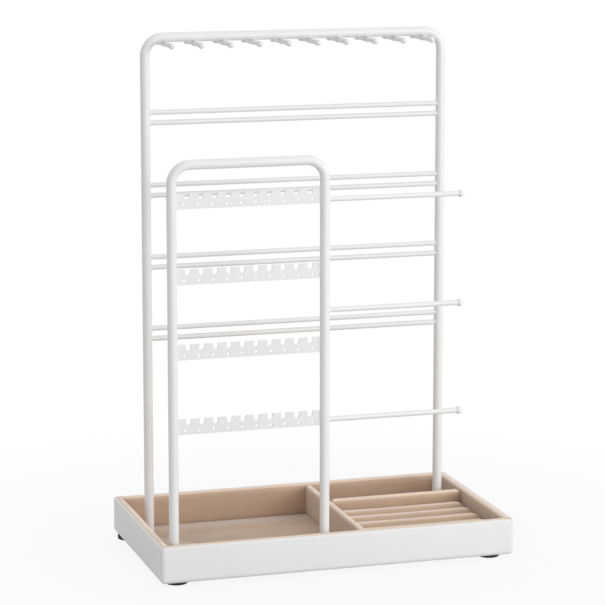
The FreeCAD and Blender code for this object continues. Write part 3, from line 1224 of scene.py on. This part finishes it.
@dataclass
class RingPad:
    """The drop-in pad: a covered board and five stuffed rolls."""

    board: str = "ring_pad_board"
    board_edge: float = 0.5 * MM
    board_fill: float = 1.0
    corner: float = 1.5 * MM
    corner_steps: int = 6
    roll_steps: int = 40
    arch_steps: int = 16
    shoulder: float = 0.42
    gather: float = 5 * MM
    drawn_in: float = 1.1 * MM
    drawn_down: float = 2.2 * MM
    shrink: float = 0.9 * MM
    voxel: float = 1.15 * MM
    sim_scale: float = 20.0
    stiffness: float = 25.0
    pressure: float = 4.0
    last_frame: int = 20
    pin_height: float = 1.2 * MM
    cap: float = 1.2 * MM
    # Shares of a roll's height over which painted light on its top fades in.
    crest_light_reach: Pair = (0.9, 1.01)
    roll_fill: float = 0.85

    def build_board(self) -> None:
        """Covers the base board."""
        low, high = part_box(self.board)
        form = Form()
        edge = self.board_edge
        rings = []
        for inset, z in ((edge, low.z), (0.0, low.z + edge), (0.0, high.z - edge), (edge, high.z)):
            outline = rounded_rectangle((low, high), inset, z, self.corner - inset, self.corner_steps)
            rings.append(form.ring(outline))
        form.loft(rings)
        piece = finished("velvet_pad_board", form.data(), VELVET, BOARD_CREASE)
        seat(piece, Body.RING_PAD, [self.board])

    def _start_body(self, node: str) -> bpy.types.Object:
        """A roll's starting form, smaller than the finished one and magnified for the simulation.

        Args:
            node: The roll's CAD node.

        Returns:
            The form, with its middle at the origin.
        """
        low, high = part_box(node)
        centre = (low + high) / 2
        half = (high.y - low.y) / 2 - self.shrink
        tall = high.z - low.z - self.shrink
        length, steps = high.x - low.x, self.roll_steps
        form = Form()
        rings = []
        for n in range(steps + 1):
            x = low.x + length * n / steps
            from_end = min(n, steps - n) / steps * length
            draw = max(0.0, 1 - from_end / self.gather) ** 2
            wide, up = half - self.drawn_in * draw, tall - self.drawn_down * draw
            points = [Vector((x, centre.y - wide, low.z)), Vector((x, centre.y + wide, low.z))]
            for k in range(self.arch_steps + 1):
                turn = math.pi * k / self.arch_steps
                rise = up * self.shoulder + up * (1 - self.shoulder) * math.sin(turn)
                points.append(Vector((x, centre.y + wide * math.cos(turn), low.z + rise)))
            rings.append(form.ring((p - centre) * self.sim_scale for p in points))
        form.loft(rings)
        made = placed(f"{node}_start", form.data())
        shell = made.modifiers.new("shell", "REMESH")
        shell.mode = "VOXEL"
        shell.voxel_size = self.voxel * self.sim_scale
        data = plain_mesh(made)
        made.modifiers.remove(shell)
        made.data = data
        return made

    def _stuff(self, bodies: list[bpy.types.Object]) -> list[bpy.types.Mesh]:
        """Swells the rolls together as cloth under pressure, their undersides held.

        Args:
            bodies: The rolls' starting bodies.

        Returns:
            The swollen meshes.
        """
        scene = bpy.context.scene
        for made in bodies:
            floor = min(v.co.z for v in made.data.vertices) + self.pin_height * self.sim_scale
            held = made.vertex_groups.new(name="held")
            held.add([v.index for v in made.data.vertices if v.co.z < floor], 1.0, "REPLACE")
            cloth = made.modifiers.new("stuffing", "CLOTH")
            cloth.settings.use_pressure = True
            cloth.settings.uniform_pressure_force = self.pressure
            cloth.settings.vertex_group_mass = held.name
            cloth.settings.tension_stiffness = self.stiffness
            cloth.settings.compression_stiffness = self.stiffness
            cloth.settings.effector_weights.gravity = 0
            cloth.point_cache.frame_start = 1
            cloth.point_cache.frame_end = self.last_frame
        for step in range(1, self.last_frame + 1):
            scene.frame_set(step)
        swollen = [plain_mesh(made) for made in bodies]
        scene.frame_set(1)
        return swollen

    def _fit(self, start: bpy.types.Mesh, swollen: bpy.types.Mesh, node: str) -> None:
        """Brings a swollen roll back to size, fits it to its node's box and paints light on its crest, paler towards
        the top.

        Args:
            start: The roll's mesh before it was stuffed.
            swollen: The mesh to fit.
            node: The roll's CAD node.
        """
        low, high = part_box(node)
        points = []
        for first, vertex in zip(start.vertices, swollen.vertices):
            moved = (vertex.co - first.co) / self.sim_scale
            if moved.length > self.cap:
                moved *= self.cap / moved.length
            points.append(first.co / self.sim_scale + moved)
        least, most = ([pick(axis) for axis in zip(*points)] for pick in (min, max))
        crest_light = swollen.attributes.get(PAINTED_CREST_LIGHT) or swollen.attributes.new(PAINTED_CREST_LIGHT, "FLOAT", "POINT")
        for point, vertex, mark in zip(points, swollen.vertices, crest_light.data):
            shares = [(p - a) / (b - a) for p, a, b in zip(point, least, most)]
            vertex.co = Vector(a + (b - a) * share for a, b, share in zip(low, high, shares))
            # Painted light: the top of the roll is painted paler, as if lit from above.
            mark.value = ease(shares[2], *self.crest_light_reach)

    def build_rolls(self) -> None:
        """Stuffs the rolls and seats them side by side on the board."""
        nodes = named("ring_roll_")
        bodies = [self._start_body(n) for n in nodes]
        shapes = self._stuff(bodies)
        for node, made, swollen in zip(nodes, bodies, shapes):
            self._fit(made.data, swollen, node)
            bpy.data.objects.remove(made)
            piece = finished(f"velvet_{node}", swollen, VELVET, ROLL_CREASE)
            smooth = piece.modifiers.new("smooth", "SUBSURF")
            smooth.levels = smooth.render_levels = 1
            seat(piece, Body.RING_PAD, [node])


@dataclass(frozen=True)
class Lamp:
    """One soft lamp of the studio."""

    name: str
    place: Place
    size: float
    power: float


@dataclass
class Studio:
    """The pale floor, the soft lamps, the surroundings and the camera."""

    lamps: tuple[Lamp, ...] = (
        Lamp("key", (0.8, -1.7, 0.6), 0.9, 10.0),
        Lamp("side", (1.5, -1.2, 0.5), 0.7, 7.4),
        Lamp("top", (0.1, 0.1, 1.7), 1.4, 2.5),
    )
    sky: float = 0.655
    floor_size: float = 8.0
    floor_white: float = 0.6
    shadow_reach: Pair = (0.1, 0.42)
    shadow_glow: float = 0.9
    lens: float = 153.19
    sensor: float = 36.0
    shift_y: float = -0.07
    camera_place: Place = (-0.4986, -1.5992, 0.4776)
    yaw: float = 17.133
    pitch: float = 9.563
    aim: Place = (0.0, 0.0, 0.15)

    def _seen_directly(self, tree: Tree) -> Value:
        """Tells what is seen from what only lights.

        Args:
            tree: The tree that asks.

        Returns:
            1 for rays from the camera, mirrors and glass, and 0 for the light itself.
        """
        unseen: Operand = 1.0
        for kind in ("Camera", "Glossy", "Transmission"):
            unseen = (1 - tree.node("ShaderNodeLightPath", output=f"Is {kind} Ray")) * unseen
        return 1 - unseen

    def build_surroundings(self) -> None:
        """Makes the white surroundings, which light the stand at a plain level."""
        world = bpy.data.worlds.new("studio")
        tree = Tree.blank(world)
        level = tree.spread(self._seen_directly(tree), 0.0, 1.0, self.sky, 1.0)
        tree.end("ShaderNodeOutputWorld", tree.node("ShaderNodeBackground", {}, {"Color": WHITE, "Strength": level}))
        bpy.context.scene.world = world

    def build_floor(self) -> None:
        """Lays the pale floor, which keeps the stand's shadow."""
        form = Form()
        half = self.floor_size / 2
        corners = ((-half, -half), (half, -half), (half, half), (-half, half))
        form.lid(form.ring(Vector((x, y, 0)) for x, y in corners))
        made = bpy.data.materials.new("studio_floor")
        tree = Tree.blank(made)
        lit = tree.node("ShaderNodeBsdfDiffuse", {}, {"Color": (self.floor_white,) * 3 + (1,)})
        glow = tree.node("ShaderNodeEmission", {}, {"Color": WHITE, "Strength": 1.0})
        away = tree.node("ShaderNodeVectorMath", {"operation": "LENGTH"}, {0: tree.place()}, "Value")
        share = self._seen_directly(tree) * tree.spread(away, *self.shadow_reach, self.shadow_glow, 1.0)
        tree.end("ShaderNodeOutputMaterial", tree.node("ShaderNodeMixShader", {}, {0: share, 1: lit, 2: glow}))
        floor = placed("floor", form.data())
        floor.data.materials.append(made)

    def build_lamps(self) -> None:
        """Hangs the lamps, each aimed at the stand."""
        for lamp in self.lamps:
            data = bpy.data.lights.new(lamp.name, "AREA")
            data.shape = "SQUARE"
            data.size = lamp.size
            data.energy = lamp.power
            made = placed(lamp.name, data)
            made.location = lamp.place
            made.rotation_euler = (Vector(self.aim) - Vector(lamp.place)).to_track_quat("-Z", "Y").to_euler()

    def build_camera(self) -> None:
        """Sets the camera where the photograph was taken from."""
        data = bpy.data.cameras.new("camera")
        data.lens = self.lens
        data.sensor_width = self.sensor
        data.shift_y = self.shift_y
        made = placed("camera", data)
        made.location = self.camera_place
        yaw, pitch = math.radians(self.yaw), math.radians(self.pitch)
        ahead = Vector((math.sin(yaw) * math.cos(pitch), math.cos(yaw) * math.cos(pitch), -math.sin(pitch)))
        made.rotation_euler = ahead.to_track_quat("-Z", "Y").to_euler()
        bpy.context.scene.camera = made


def boards() -> list[VelvetBoard]:
    """Lists every velvet board of the tray and the ring pad.

    Returns:
        The boards.
    """
    made = [
        VelvetBoard(f"lining_{side.name.lower()}", Body.STAND, side, back_drop=0.45 * MM, mitre_radius=0.3 * MM)
        for side in Side
    ]
    made.append(VelvetBoard("divider", Body.STAND, Side.RIGHT, end_round=1.6 * MM))
    made.append(VelvetBoard("ring_pad_back", Body.RING_PAD, Side.FRONT, end_round=1.8 * MM))
    return made


def main() -> None:
    """Builds and dresses the stand, then the studio round it."""
    logging.basicConfig(level=logging.INFO, format="%(name)s: %(message)s")
    bpy.context.scene.view_settings.view_transform = "Standard"
    tray = TrayShell()
    tray.build_shell()
    tray.build_feet()
    tray.build_screws()
    tray.dress_plugs()
    FloorLining().build()
    for board in boards():
        board.build()
    pad = RingPad()
    pad.build_board()
    pad.build_rolls()
    rear = RearFrame()
    rear.build_tube()
    rear.build_rods()
    rear.build_pegs()
    front = FrontFrame()
    front.build_tube()
    front.build_strips()
    front.build_arms()
    studio = Studio()
    studio.build_surroundings()
    studio.build_floor()
    studio.build_lamps()
    studio.build_camera()


if __name__ == "__main__":
    main()
